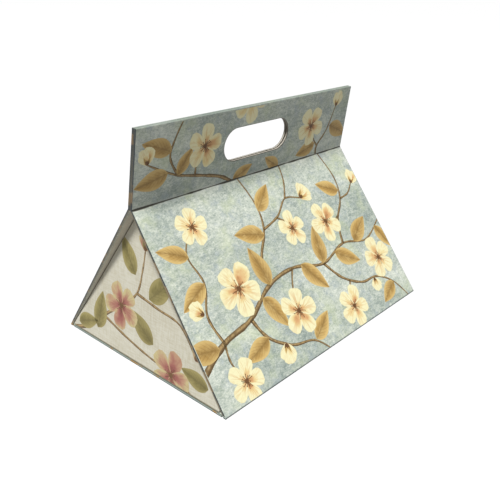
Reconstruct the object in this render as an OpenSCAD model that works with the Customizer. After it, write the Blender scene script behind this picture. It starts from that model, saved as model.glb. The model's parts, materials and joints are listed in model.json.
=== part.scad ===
// Triangle gift box of paper-covered boards.
// A base board carries two sloping covers and two triangular end flaps.
// Each cover ends in an upright handle board, and the two handles lie face to face.
// X runs along the ridge, the front slope faces -Y, and the box stands on z = 0.

/* [Box] */
// Length of the box along its ridge
box_length = 260; // [200:1:340]
// Depth of the box at the table, from front fold to back fold
box_depth = 183; // [150:1:230]
// Height of the front ridge crease above the table
ridge_height = 125.5; // [95:0.5:160]
// Thickness of a board with the paper on it
board = 2; // [1.5:0.1:3]
// Radius at which the paper turns over a board's edge
edge_turn = 0.5; // [0.2:0.1:0.7]

/* [Handle] */
// Height of the handle boards above the ridge crease
handle_height = 60.6; // [50:0.2:80]
// Lean of the handle towards the front, in degrees from upright
handle_lean = 8.1; // [0:0.1:14]
// Length of the hand hole, with its round ends
hole_length = 80; // [70:1:110]
// Height of the hand hole
hole_height = 28; // [22:1:34]
// Height of the hand hole's middle above the crease
hole_middle = 30.6; // [27:0.2:34]

/* [End flaps] */
// Inward lean of the end flaps, in degrees from upright
end_lean = 4.5; // [0:0.5:8]
// Width of the flat tip at the top of an end flap
tip_width = 3; // [2:0.5:8]
// Radius of an end flap's lower corners
flap_corner = 1.5; // [1.5:0.1:4]
// Clearance between an upright end flap and the covers beside it
end_clearance = 0.5; // [0.5:0.1:1.5]

/* [Folds] */
// Gap that the paper bridges where two boards fold
fold_gap = 0.3; // [0.2:0.1:0.8]

/* [Print] */
// Height of the printed shapes above the paper
print_relief = 0.12; // [0.1:0.01:0.3]
// Unprinted margin that the shapes keep from a board's edge
print_margin = 0.6; // [0.5:0.1:3]
// Radius of the widest blossom
blossom_radius = 22; // [17:0.5:26]
// Length of the longest leaf
leaf_length = 40; // [28:0.5:46]
// Width of the main branch at its thick end
branch_width = 5; // [2.5:0.1:6]

/* [Hidden] */

cut_slack = 1;
arc_steps = 5;
lobe_steps = 5;
leaf_steps = 6;
route_steps = 2;
heart_sides = 10;
ribbon_tip = 0.9;

// Colours of the papers and of the print
outer_paper = "#8fa3a0";
end_paper = "#cfc6b8";
blossom_cream = "#f1dfae";
blossom_rose = "#c99a90";
heart_brown = "#8a5f3c";
leaf_ochre = "#c39a4e";
leaf_olive = "#8b8a55";
twig_brown = "#6f5a3e";

// Sides of the box in the Y-Z plane
half_depth = box_depth / 2;
handle_stack = 2 * board + fold_gap;
ridge_front = [0, ridge_height];
ridge_back = ridge_front + handle_stack * [cos(handle_lean), sin(handle_lean)];
front_angle = atan2(ridge_front.y, half_depth + ridge_front.x);
back_angle = atan2(ridge_back.y, half_depth - ridge_back.x);
front_length = norm([half_depth + ridge_front.x, ridge_front.y]);
back_length = norm([half_depth - ridge_back.x, ridge_back.y]);
front_turn = 90 + handle_lean - front_angle;
back_turn = 90 - handle_lean - back_angle;

// Inner edges of the covers at a height z, kept back by a clearance c
function front_inside(z, c) = -half_depth + (board + c) / sin(front_angle) + z / tan(front_angle);
function back_inside(z, c) = half_depth - (board + c) / sin(back_angle) - z / tan(back_angle);

// The end flap turns at its outer foot, and leaning in dips its inner foot towards the base
flap_foot = board + fold_gap + board * sin(end_lean);
cover_across = (board + end_clearance) * (1 / sin(front_angle) + 1 / sin(back_angle));
flap_tip = (box_depth - tip_width - cover_across) / (1 / tan(front_angle) + 1 / tan(back_angle));
flap_length = flap_tip - flap_foot;

// A corner of an outline, turned with radius r between its neighbours a and b
function turned(a, p, b, r) =
    let (
        u = (a - p) / norm(a - p),
        v = (b - p) / norm(b - p),
        half = acos(u * v) / 2,
        middle = p + (u + v) / norm(u + v) * r / sin(half),
        from = p + u * r / tan(half) - middle,
        side = sign(cross(p - a, b - p)),
        sweep = side * (180 - 2 * half)
    )
    [for (i = [0 : arc_steps])
        let (t = sweep * i / arc_steps)
        middle + [from.x * cos(t) - from.y * sin(t), from.x * sin(t) + from.y * cos(t)]];

// An outline whose corners are turned by the radii in r, where 0 leaves a corner sharp
function softened(p, r) =
    let (n = len(p))
    [for (i = [0 : n - 1])
        each (r[i] > 0 ? turned(p[(i + n - 1) % n], p[i], p[(i + 1) % n], r[i]) : [p[i]])];

// A slope board in its own plane: u runs up the outer face, v out of it
function slope_section(length, angle, turn) = softened([
    [0, 0],
    [length, 0],
    [length + board * tan(turn / 2), -board],
    [board / tan(angle), -board]
], [edge_turn, 0, 0, edge_turn / 2]);

// A handle board in its own plane, mitred at the crease
function handle_section(turn) = softened([
    [0, 0],
    [handle_height, 0],
    [handle_height, -board],
    [-board * tan(turn / 2), -board]
], [0, edge_turn, edge_turn, 0]);

// Places a drawing of the outer face: its x runs to the viewer's right, its y up the board
module on_front_slope() { translate([0, -half_depth, 0]) rotate([front_angle, 0, 0]) children(); }
module on_front_handle() { translate([0, 0, ridge_height]) rotate([90 + handle_lean, 0, 0]) children(); }
module on_back_slope() {
    translate([0, half_depth, 0]) rotate([0, 0, 180]) rotate([back_angle, 0, 0]) children();
}
module on_back_handle() {
    translate([0, ridge_back.x, ridge_back.y]) rotate([0, 0, 180])
        rotate([90 - handle_lean, 0, 0]) children();
}
module on_left_end() {
    translate([-box_length / 2, 0, flap_foot]) rotate([0, 0, -90])
        rotate([90 - end_lean, 0, 0]) children();
}
module on_right_end() {
    translate([box_length / 2, 0, flap_foot]) rotate([0, 0, 90])
        rotate([90 - end_lean, 0, 0]) children();
}

// A board whose section is drawn in u and v, run along the box
module board_along(section) {
    rotate([90, 0, 90]) linear_extrude(box_length, center = true) polygon(section);
}

module hand_hole() {
    translate([0, hole_middle, -board - cut_slack]) {
        for (side = [-1, 1])
            translate([side * (hole_length - hole_height) / 2, 0, 0])
                cylinder(d = hole_height, h = board + 2 * cut_slack, $fn = 64);
        translate([-(hole_length - hole_height) / 2, -hole_height / 2, 0])
            cube([hole_length - hole_height, hole_height, board + 2 * cut_slack]);
    }
}

module base_panel() {
    front = front_inside(board, fold_gap);
    back = back_inside(board, fold_gap);
    section = softened([[front, 0], [back, 0], [back, board], [front, board]],
        [edge_turn, edge_turn, edge_turn, edge_turn]);
    color(outer_paper) board_along(section);
}

module front_slope_panel() {
    color(outer_paper) on_front_slope() board_along(slope_section(front_length, front_angle, front_turn));
}

module back_slope_panel() {
    color(outer_paper) on_back_slope() board_along(slope_section(back_length, back_angle, back_turn));
}

module front_handle_panel() {
    color(outer_paper) on_front_handle() difference() {
        board_along(handle_section(front_turn));
        hand_hole();
    }
}

module back_handle_panel() {
    color(outer_paper) on_back_handle() difference() {
        board_along(handle_section(back_turn));
        hand_hole();
    }
}

// Outline of an end flap seen from outside; flip is 1 at the left end and -1 at the right
function flap_outline(flip, back_off) = [
    [-flip * (front_inside(flap_foot, end_clearance) + back_off), back_off],
    [-flip * (front_inside(flap_tip, end_clearance)), flap_length - back_off],
    [-flip * (back_inside(flap_tip, end_clearance)), flap_length - back_off],
    [-flip * (back_inside(flap_foot, end_clearance) - back_off), back_off]
];

module end_flap(flip) {
    translate([0, 0, -board]) linear_extrude(board)
        polygon(softened(flap_outline(flip, 0), [flap_corner, edge_turn, edge_turn, flap_corner]));
}
module left_end_panel() { color(end_paper) on_left_end() end_flap(1); }
module right_end_panel() { color(end_paper) on_right_end() end_flap(-1); }

// Printed shapes, each drawn about its own foot or middle
// A five-lobed blossom outline of radius r, turned by a
function blossom_points(r, a) = [for (i = [0 : 5 * lobe_steps - 1])
    let (t = 72 * i / lobe_steps, lobe = pow(abs(sin(t * 5 / 2)), 0.45))
    r * (0.28 + 0.72 * lobe) * [cos(t + a), sin(t + a)]];

// A pointed leaf outline of length l and width w, its foot at the origin
function leaf_points(l, w) =
    let (edge = [for (i = [0 : leaf_steps])
        let (t = i / leaf_steps) [l * t, w / 2 * sin(180 * pow(t, 0.75))]])
    concat(
        [for (i = [0 : leaf_steps - 1]) [edge[i].x, -edge[i].y]],
        [for (i = [leaf_steps : -1 : 1]) edge[i]]);

// A route through the points in p, rounded between them
function flowing(p) = let (n = len(p) - 1) [for (i = [0 : n - 1])
    let (a = p[max(i - 1, 0)], b = p[i], c = p[i + 1], d = p[min(i + 2, n)])
    each concat([for (k = [0 : route_steps - 1])
        let (t = k / route_steps)
        b + (c - a) * t / 2 + (2 * a - 5 * b + 4 * c - d) * t * t / 2
            + (3 * b - a - 3 * c + d) * t * t * t / 2],
        i == n - 1 ? [c] : [])];

// A tapering ribbon along a route, from width w at its start
function ribbon_points(route, w) =
    let (
        p = flowing(route),
        n = len(p) - 1,
        run = [for (i = [0 : n]) p[min(i + 1, n)] - p[max(i - 1, 0)]],
        out = [for (i = [0 : n])
            [-run[i].y, run[i].x] / norm(run[i]) * (w + (min(ribbon_tip, w) - w) * i / n) / 2]
    )
    concat([for (i = [0 : n]) p[i] - out[i]], [for (i = [n : -1 : 0]) p[i] + out[i]]);

module blossoms(list) {
    for (b = list) translate([b[0], b[1]]) polygon(blossom_points(b[2] * blossom_radius, b[3]));
}
module hearts(list) {
    for (b = list) translate([b[0], b[1]]) circle(r = 0.2 * b[2] * blossom_radius, $fn = heart_sides);
}
module buds(list) {
    for (b = list) translate([b[0], b[1]]) rotate(b[3]) {
        polygon(leaf_points(b[2] * blossom_radius, 0.8 * b[2] * blossom_radius));
    }
}
module leaves(list) {
    for (b = list) translate([b[0], b[1]]) rotate(b[3])
        polygon(leaf_points(b[2] * leaf_length, 0.5 * b[2] * leaf_length));
}
module twigs(list) {
    for (b = list) polygon(ribbon_points(b[1], b[0] * branch_width));
}

// Slope print: [x, height, size, turn] of each shape, sizes as shares of the widest or longest
slope_blossoms = [
    [-70, 74, 1, 12], [-22, 38, 0.94, 36], [58, 94, 0.9, 5], [104, 44, 0.96, 60],
    [-100, 14, 0.8, 28], [42, 18, 0.86, 22], [14, 100, 0.76, 50], [-86, 130, 0.74, 40]
];
slope_buds = [
    [40, 122, 0.85, 25], [118, 118, 0.7, 50], [-50, 22, 0.75, -105],
    [84, 30, 0.6, -95], [-110, 68, 0.65, 135]
];
slope_leaves = [
    [-110, 42, 0.85, 165], [-52, 60, 0.8, -60], [-38, 66, 0.86, 95], [4, 70, 0.85, -60],
    [30, 62, 0.85, 72], [50, 66, 0.8, -35], [82, 67, 0.85, 35], [120, 72, 0.7, -70],
    [-20, 104, 0.8, 160], [-15, 124, 0.75, 35], [95, 116, 0.75, 160], [-98, 88, 0.75, 200],
    [-101, 110, 0.7, 150], [-64, 32, 0.75, 200], [-18, 12, 0.75, 25], [108, 18, 0.7, 200]
];
slope_twigs = [
    [1, [
        [-134, 30], [-104, 44], [-72, 50], [-40, 66], [-6, 70], [30, 62], [66, 70], [100, 64], [134, 78]
    ]],
    [0.7, [[-40, 66], [-34, 88], [-18, 108], [-14, 130], [-22, 160]]],
    [0.7, [[-72, 50], [-64, 32], [-44, 18], [-20, 12], [-4, -4]]],
    [0.6, [[66, 70], [74, 90], [92, 108], [98, 130], [90, 160]]],
    [0.6, [[30, 62], [44, 44], [66, 32], [88, 30], [108, 18], [122, -4]]],
    [0.5, [[-104, 44], [-108, 66], [-98, 88], [-102, 112], [-88, 130]]],
    [0.45, [[-18, 108], [4, 114], [22, 126], [40, 122]]],
    [0.4, [[92, 108], [106, 110], [118, 118]]],
    [0.4, [[22, 126], [31, 142], [34, 160]]],
    [0.45, [[-104, 44], [-106, 30], [-100, 14]]],
    [0.4, [[-8, 70], [-17, 56], [-22, 38]]],
    [0.4, [[2, 113], [9, 108], [14, 100]]],
    [0.4, [[52, 39], [46, 30], [42, 18]]],
    [0.4, [[77, 94], [68, 91], [58, 94]]]
];

// Handle print, whose twigs go on from those that cross the crease
handle_blossoms = [[-62, 36, 0.84, 44], [74, 30, 0.88, 20], [-14, 66, 0.9, 30]];
handle_buds = [[-118, 32, 0.7, 100], [109, 44, 0.7, 80]];
handle_leaves = [
    [-98, 22, 0.8, 195], [-96, 38, 0.75, 155], [-26, 0, 0.62, 18], [33, 0, 0.58, 154],
    [84, 12, 0.7, 200], [104, 26, 0.8, -20], [-88, 18, 0.6, 60]
];
handle_twigs = [
    [0.7, [[-22, -4], [-40, 6], [-62, 12], [-88, 18], [-106, 26], [-118, 32]]],
    [0.6, [[90, -4], [88, 8], [100, 22], [109, 44]]],
    [0.5, [[-88, 18], [-97, 34], [-92, 50], [-84, 64]]],
    [0.45, [[-70, 14], [-69, 25], [-62, 36]]],
    [0.4, [[88, 9], [80, 18], [74, 30]]]
];

// End flap print
end_blossoms = [[-22, 40, 0.95, 10], [36, 6, 0.95, 36]];
end_buds = [[4, 92, 0.7, 80], [60, 28, 0.6, 60]];
end_leaves = [
    [-52, 10, 0.86, 75], [10, 56, 0.9, 40], [-6, 70, 0.8, 125], [16, 22, 0.84, 150],
    [-78, 6, 0.7, 25], [74, 12, 0.7, 175]
];
end_twigs = [
    [0.7, [[-96, -4], [-66, 6], [-44, 24], [-22, 40], [-4, 56], [2, 76], [5, 96]]],
    [0.5, [[-4, 56], [20, 52], [44, 48], [60, 30]]],
    [0.5, [[-44, 24], [-16, 16], [14, 10], [38, 8], [66, -4]]]
];

// Clear fields of the boards, on which shapes may lie
module slope_field(length) {
    translate([-box_length / 2 + print_margin, 2 * edge_turn + print_margin])
        square([box_length - 2 * print_margin, length - 2 * edge_turn - 2 * print_margin]);
}
module handle_field() {
    difference() {
        translate([-box_length / 2 + print_margin, print_margin])
            square([box_length - 2 * print_margin, handle_height - edge_turn - 2 * print_margin]);
        translate([0, hole_middle]) {
            for (side = [-1, 1])
                translate([side * (hole_length - hole_height) / 2, 0])
                    circle(d = hole_height + 2 * print_margin, $fn = 64);
            square([hole_length - hole_height, hole_height + 2 * print_margin], center = true);
        }
    }
}
module flap_field(flip) { polygon(flap_outline(flip, print_margin)); }

// One layer of a print, each layer cut clear of those that lie over it
module print_layer(layer, blossom_list, bud_list, leaf_list, twig_list) {
    if (layer == "hearts") hearts(blossom_list);
    if (layer == "blossoms") difference() {
        union() { blossoms(blossom_list); buds(bud_list); }
        hearts(blossom_list);
    }
    if (layer == "leaves") difference() {
        leaves(leaf_list);
        union() { blossoms(blossom_list); buds(bud_list); }
    }
    if (layer == "twigs") difference() {
        twigs(twig_list);
        union() { blossoms(blossom_list); buds(bud_list); leaves(leaf_list); }
    }
}
module slope_print(layer, length) {
    linear_extrude(print_relief) intersection() {
        print_layer(layer, slope_blossoms, slope_buds, slope_leaves, slope_twigs);
        slope_field(length);
    }
}
module handle_print(layer) {
    linear_extrude(print_relief) intersection() {
        print_layer(layer, handle_blossoms, handle_buds, handle_leaves, handle_twigs);
        handle_field();
    }
}
module end_print(layer, flip) {
    linear_extrude(print_relief) intersection() {
        print_layer(layer, end_blossoms, end_buds, end_leaves, end_twigs);
        flap_field(flip);
    }
}
module front_print(layer) {
    on_front_slope() slope_print(layer, front_length);
    on_front_handle() handle_print(layer);
}
module back_print(layer) {
    on_back_slope() slope_print(layer, back_length);
    on_back_handle() handle_print(layer);
}

module front_print_blossoms() { color(blossom_cream) front_print("blossoms"); }
module front_print_hearts() { color(heart_brown) front_print("hearts"); }
module front_print_leaves() { color(leaf_ochre) front_print("leaves"); }
module front_print_twigs() { color(twig_brown) front_print("twigs"); }
module back_print_blossoms() { color(blossom_cream) back_print("blossoms"); }
module back_print_hearts() { color(heart_brown) back_print("hearts"); }
module back_print_leaves() { color(leaf_ochre) back_print("leaves"); }
module back_print_twigs() { color(twig_brown) back_print("twigs"); }
module left_print_blossoms() { color(blossom_rose) on_left_end() end_print("blossoms", 1); }
module left_print_hearts() { color(heart_brown) on_left_end() end_print("hearts", 1); }
module left_print_leaves() { color(leaf_olive) on_left_end() end_print("leaves", 1); }
module left_print_twigs() { color(twig_brown) on_left_end() end_print("twigs", 1); }
module right_print_blossoms() { color(blossom_rose) on_right_end() end_print("blossoms", -1); }
module right_print_hearts() { color(heart_brown) on_right_end() end_print("hearts", -1); }
module right_print_leaves() { color(leaf_olive) on_right_end() end_print("leaves", -1); }
module right_print_twigs() { color(twig_brown) on_right_end() end_print("twigs", -1); }

base_panel();
front_slope_panel();
front_handle_panel();
back_slope_panel();
back_handle_panel();
left_end_panel();
right_end_panel();
front_print_blossoms();
front_print_hearts();
front_print_leaves();
front_print_twigs();
back_print_blossoms();
back_print_hearts();
back_print_leaves();
back_print_twigs();
left_print_blossoms();
left_print_hearts();
left_print_leaves();
left_print_twigs();
right_print_blossoms();
right_print_hearts();
right_print_leaves();
right_print_twigs();
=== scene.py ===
# %% [markdown]
# # A triangular gift box with a handle
#
# The box is made of stiff boards covered in printed paper. Two sloping covers lean against each other
# at the ridge, each with an upright handle board, and two triangular flaps close the ends. The boards
# come from a CAD model, and this file gives them their papers, their print and their folds.

# %% Load the frame
import json
import math
import random

import bmesh
import bpy
from mathutils import Matrix, Vector


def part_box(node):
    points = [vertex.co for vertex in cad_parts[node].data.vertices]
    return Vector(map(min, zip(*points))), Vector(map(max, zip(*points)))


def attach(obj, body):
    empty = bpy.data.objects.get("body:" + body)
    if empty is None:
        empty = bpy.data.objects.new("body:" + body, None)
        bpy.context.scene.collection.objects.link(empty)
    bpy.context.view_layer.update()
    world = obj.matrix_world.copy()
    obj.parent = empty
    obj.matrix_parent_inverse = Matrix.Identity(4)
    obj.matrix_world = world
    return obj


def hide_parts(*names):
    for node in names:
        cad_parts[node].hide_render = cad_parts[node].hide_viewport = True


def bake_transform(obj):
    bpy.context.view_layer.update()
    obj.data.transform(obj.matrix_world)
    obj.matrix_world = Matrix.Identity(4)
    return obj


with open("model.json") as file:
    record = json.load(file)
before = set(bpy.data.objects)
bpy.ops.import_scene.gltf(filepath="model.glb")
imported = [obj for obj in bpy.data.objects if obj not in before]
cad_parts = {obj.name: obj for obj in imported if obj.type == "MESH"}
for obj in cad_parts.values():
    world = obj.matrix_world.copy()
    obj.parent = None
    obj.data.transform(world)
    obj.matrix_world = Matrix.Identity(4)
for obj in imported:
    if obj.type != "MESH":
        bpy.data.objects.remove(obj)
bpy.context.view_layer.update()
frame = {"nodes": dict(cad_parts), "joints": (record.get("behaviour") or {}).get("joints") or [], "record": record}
nodes = frame["nodes"]
print("boards and prints in the frame:", len(nodes))

# %% [markdown]
# ## Sizes taken from the frame
#
# Every new piece lies on a board, so its place is worked out from the boards' boxes and hinges. Only what
# these can't tell, such as a leaning board's thickness, is written again. Lengths are in metres.

# %% Sizes and angles
MM = 0.001
BOARD = 2 * MM
FOLD_GAP = 0.3 * MM
HANDLE_LEAN = math.radians(8.1)

hinges = {joint["name"]: Vector(joint["pos_m"]) for joint in frame["joints"]}
HALF_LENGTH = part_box("base_panel")[1].x
HALF_DEPTH = hinges["back_cover_hinge"].y
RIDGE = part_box("front_slope_panel")[1].z
stack = 2 * BOARD + FOLD_GAP
back_ridge = Vector((0, stack * math.cos(HANDLE_LEAN), RIDGE + stack * math.sin(HANDLE_LEAN)))
FRONT_ANGLE = math.atan2(RIDGE, HALF_DEPTH)
BACK_ANGLE = math.atan2(back_ridge.z, HALF_DEPTH - back_ridge.y)
FRONT_LENGTH = math.hypot(RIDGE, HALF_DEPTH)
BACK_LENGTH = math.hypot(back_ridge.z, HALF_DEPTH - back_ridge.y)
print("front slope", round(FRONT_LENGTH / MM, 1), "mm at", round(math.degrees(FRONT_ANGLE), 1), "degrees")

# %% [markdown]
# ## The boards' faces
#
# A real box's paper is printed flat and folded later. The same order keeps this print simple: its shapes
# are made flat, and one matrix for each board lays them on its outer face.

# %% Faces of the boards
END_LEAN = math.radians(4.5)
FLAP_FOOT = hinges["left_end_hinge"].z
QUARTER = math.pi / 2


def face_place(origin, tilt, turn):
    """A board's outer face as a matrix: its x runs to the viewer's right, its y up the board, z out of it."""
    return Matrix.Translation(origin) @ Matrix.Rotation(turn, 4, "Z") @ Matrix.Rotation(tilt, 4, "X")


def facing(face):
    """The direction that a face looks in."""
    return FACES[face].to_3x3() @ Vector((0, 0, 1))


FACES = {
    "front_slope": face_place((0, -HALF_DEPTH, 0), FRONT_ANGLE, 0),
    "front_handle": face_place((0, 0, RIDGE), QUARTER + HANDLE_LEAN, 0),
    "back_slope": face_place((0, HALF_DEPTH, 0), BACK_ANGLE, math.pi),
    "back_handle": face_place(back_ridge, QUARTER - HANDLE_LEAN, math.pi),
    "left_end": face_place((-HALF_LENGTH, 0, FLAP_FOOT), QUARTER - END_LEAN, -QUARTER),
    "right_end": face_place((HALF_LENGTH, 0, FLAP_FOOT), QUARTER - END_LEAN, QUARTER),
    "base_top": face_place((0, 0, BOARD), 0, 0),
}
print("faces:", ", ".join(FACES))

# %% [markdown]
# ## The camera
#
# The photograph looks down past the box's front left corner, from a little over half a metre away. The
# camera stands where the box's corners fall on the photograph's own, and the small shift slides the
# picture without turning the camera, so that the box lies where the photograph frames it.

# %% Camera
CAMERA_PLACE = (-391.0 * MM, -336.6 * MM, 276.9 * MM)
CAMERA_AZIMUTH, CAMERA_HEIGHT_ANGLE = math.radians(-46.37), math.radians(17.66)
CAMERA_LENS, CAMERA_SENSOR = 45.84, 36
CAMERA_SHIFT = (0.0556, -0.1248)
CAMERA_NEAR = 10 * MM


def new_object(name, data):
    """A new object in the scene."""
    made = bpy.data.objects.new(name, data)
    bpy.context.scene.collection.objects.link(made)
    return made


camera = new_object("camera", bpy.data.cameras.new("camera"))
bpy.context.scene.camera = camera
camera.location = CAMERA_PLACE
toward_camera = Vector((
    math.sin(CAMERA_AZIMUTH) * math.cos(CAMERA_HEIGHT_ANGLE),
    -math.cos(CAMERA_AZIMUTH) * math.cos(CAMERA_HEIGHT_ANGLE),
    math.sin(CAMERA_HEIGHT_ANGLE),
))
camera.rotation_euler = (-toward_camera).to_track_quat("-Z", "Y").to_euler()
camera.data.sensor_width = CAMERA_SENSOR
camera.data.lens = CAMERA_LENS
camera.data.shift_x, camera.data.shift_y = CAMERA_SHIFT
camera.data.clip_start = CAMERA_NEAR
print("camera", round(Vector(CAMERA_PLACE).length / MM), "mm from the middle of the base")

# %% [markdown]
# ## Light and floor
#
# One soft studio light, high on the left, falls on the front slope and on the end flap, and leaves the
# leaning handle board in its own shade, as in the photograph. A sun with a broad disc lights a small
# object more evenly than a lamp would. The floor is plain.

# %% Light and floor
KEY_DIRECTION = (-0.42, -0.12, 0.9)
KEY_STRENGTH = 7.25
KEY_SPREAD = math.radians(16)
SKY_STRENGTH = 0.11
FLOOR_TONE, FLOOR_ROUGHNESS = 0.482, 0.8
FLOOR_SIZE = 30.0
FLOOR_DROP = 0.2 * MM

key = new_object("key", bpy.data.lights.new("key", "SUN"))
key.rotation_euler = Vector(KEY_DIRECTION).to_track_quat("Z", "Y").to_euler()
key.data.energy = KEY_STRENGTH
key.data.angle = KEY_SPREAD

world = bpy.data.worlds.new("studio")
bpy.context.scene.world = world
world.use_nodes = True
sky = world.node_tree.nodes["Background"].inputs
sky["Color"].default_value = (1, 1, 1, 1)
sky["Strength"].default_value = SKY_STRENGTH
bpy.context.scene.view_settings.view_transform = "Standard"

floor_mesh = bpy.data.meshes.new("floor")
shape = bmesh.new()
bmesh.ops.create_grid(shape, x_segments=1, y_segments=1, size=FLOOR_SIZE)
bmesh.ops.translate(shape, verts=shape.verts, vec=(0, 0, -FLOOR_DROP))
shape.to_mesh(floor_mesh)
shape.free()
floor = new_object("floor", floor_mesh)
floor_paint = bpy.data.materials.new("floor_paint")
floor_paint.use_nodes = True
floor_shader = floor_paint.node_tree.nodes["Principled BSDF"]
floor_shader.inputs["Base Color"].default_value = (FLOOR_TONE, FLOOR_TONE, FLOOR_TONE, 1)
floor_shader.inputs["Roughness"].default_value = FLOOR_ROUGHNESS
floor.data.materials.append(floor_paint)
print("floor", 2 * FLOOR_SIZE, "m wide")

# %% [markdown]
# ## Node helpers
#
# A material is a small graph of nodes. These helpers add a node and join or set its inputs, so that each
# material below reads as a recipe.


# %% Nodes and values
def feed(tree, socket, value):
    """Joins an input to another node's socket, or gives it a plain value."""
    if isinstance(value, bpy.types.NodeSocket):
        tree.links.new(value, socket)
    else:
        socket.default_value = value


def add(tree, kind, **inputs):
    """A new node of that kind. Inputs are given by socket name, with _ for a space, or as i and a number."""
    node = tree.nodes.new(kind)
    for name, value in inputs.items():
        numbered = name[0] == "i" and name[1:].isdigit()
        feed(tree, node.inputs[int(name[1:]) if numbered else name.replace("_", " ")], value)
    return node


def parts_of(tree, vector):
    """The X, Y and Z of a vector."""
    return add(tree, "ShaderNodeSeparateXYZ", Vector=vector).outputs


def math_node(tree, operation, a, b=0.0):
    """One arithmetic step on two values."""
    node = tree.nodes.new("ShaderNodeMath")
    node.operation = operation
    feed(tree, node.inputs[0], a)
    feed(tree, node.inputs[1], b)
    return node.outputs[0]


def plus(tree, a, b):
    """The sum of two values."""
    return math_node(tree, "ADD", a, b)


def minus(tree, a, b):
    """The first value less the second."""
    return math_node(tree, "SUBTRACT", a, b)


def times(tree, a, b):
    """The product of two values."""
    return math_node(tree, "MULTIPLY", a, b)


def unsigned(tree, value):
    """A value without its sign."""
    return math_node(tree, "ABSOLUTE", value)


def steps(tree, value, low, high, to_low=0.0, to_high=1.0):
    """value, from low to high, mapped smoothly to the range from to_low to to_high."""
    node = add(tree, "ShaderNodeMapRange", Value=value, From_Min=low, From_Max=high, To_Min=to_low,
        To_Max=to_high)
    node.interpolation_type = "SMOOTHSTEP"
    return node.outputs["Result"]


def noise(tree, place, scale, detail, roughness=0.5, distortion=0.0):
    """Noise with that many features per unit of the place that it reads."""
    return add(tree, "ShaderNodeTexNoise", Vector=place, Scale=scale, Detail=detail, Roughness=roughness,
        Distortion=distortion).outputs["Fac"]


print("made: plus, minus, times, unsigned, steps, noise")

# %% [markdown]
# ## Colours and materials
#
# Colours are written as they should look on the lit box, because an eye compares that with a photograph.
# The paper's own colour is darker by a fixed share, since the light is stronger than 1.

# %% Colours, groups and materials
KEY_LIGHT = 1.6
SHEEN = 0.3
OUTER_ROUGHNESS, LINEN_ROUGHNESS, INK_ROUGHNESS = 0.62, 0.7, 0.6


def rgba(red, green, blue):
    """The paper's own linear colour, from the display colour that it has where the key light is full."""
    display = (red / 255, green / 255, blue / 255)
    linear = [c / 12.92 if c <= 0.04045 else ((c + 0.055) / 1.055) ** 2.4 for c in display]
    return (*(c / KEY_LIGHT for c in linear), 1.0)


def mix(tree, factor, a, b):
    """Two colours mixed by a factor."""
    node = add(tree, "ShaderNodeMix")
    node.data_type = "RGBA"
    for number, value in ((0, factor), (6, a), (7, b)):
        feed(tree, node.inputs[number], value)
    return node.outputs[2]


def ramp(tree, factor, stops):
    """A colour ramp: stops are (place, colour)."""
    node = add(tree, "ShaderNodeValToRGB", Fac=factor)
    elements = node.color_ramp.elements
    while len(elements) < len(stops):
        elements.new(0.5)
    for element, (place, colour) in zip(elements, stops):
        element.position = place
        element.color = colour
    return node.outputs["Color"]


def new_group(name, inputs, outputs):
    """A node group and its sockets: inputs and outputs are {name: socket type}."""
    group = bpy.data.node_groups.new(name, "ShaderNodeTree")
    for sockets, way in ((inputs, "INPUT"), (outputs, "OUTPUT")):
        for socket_name, kind in sockets.items():
            group.interface.new_socket(socket_name, in_out=way, socket_type=kind)
    return group, group.nodes.new("NodeGroupInput").outputs, group.nodes.new("NodeGroupOutput").inputs


def use_group(tree, group, **inputs):
    """A node group placed in a material."""
    node = tree.nodes.new("ShaderNodeGroup")
    node.node_tree = group
    for name, value in inputs.items():
        feed(tree, node.inputs[name], value)
    return node


def new_material(name, roughness):
    """A material with its Principled shader, and the Object coordinates that its patterns read."""
    material = bpy.data.materials.new(name)
    material.use_nodes = True
    tree = material.node_tree
    shader = tree.nodes["Principled BSDF"]
    shader.inputs["Roughness"].default_value = roughness
    shader.inputs["Specular IOR Level"].default_value = SHEEN
    return material, tree, shader, tree.nodes.new("ShaderNodeTexCoord").outputs["Object"]


def finish_material(tree, shader, colour, height, strength, relief):
    """Joins a colour to the shader, and a height as bumps of that relief."""
    tree.links.new(colour, shader.inputs["Base Color"])
    bump = add(tree, "ShaderNodeBump", Strength=strength, Distance=relief, Height=height)
    tree.links.new(bump.outputs["Normal"], shader.inputs["Normal"])


print("white where the light is full:", [round(c, 3) for c in rgba(255, 255, 255)])

# %% [markdown]
# ## Paper grain
#
# The outer paper and every ink share a fine grain: the fibres of the sheet, which lift the surface a
# little and break the ink. One node group makes it, so that paper and print have the same bumps.

# %% Paper grain group
FLOAT, COLOUR, VECTOR = "NodeSocketFloat", "NodeSocketColor", "NodeSocketVector"
GRAIN_STRENGTH, GRAIN_RELIEF = 0.25, 0.12 * MM
paper_grain, grain_in, grain_out = new_group(
    "paper grain", {"Vector": VECTOR}, {"Speckle": FLOAT, "Height": FLOAT})
tree = paper_grain
fine = noise(tree, grain_in["Vector"], 1500.0, 3.0, 0.7)
coarse = noise(tree, grain_in["Vector"], 520.0, 4.0, 0.65)
speckle = plus(tree, times(tree, fine, 0.45), times(tree, coarse, 0.55))
tree.links.new(steps(tree, speckle, 0.36, 0.64), grain_out["Speckle"])
tree.links.new(speckle, grain_out["Height"])
print(tree.name, "group:", len(tree.nodes), "nodes")
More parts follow.
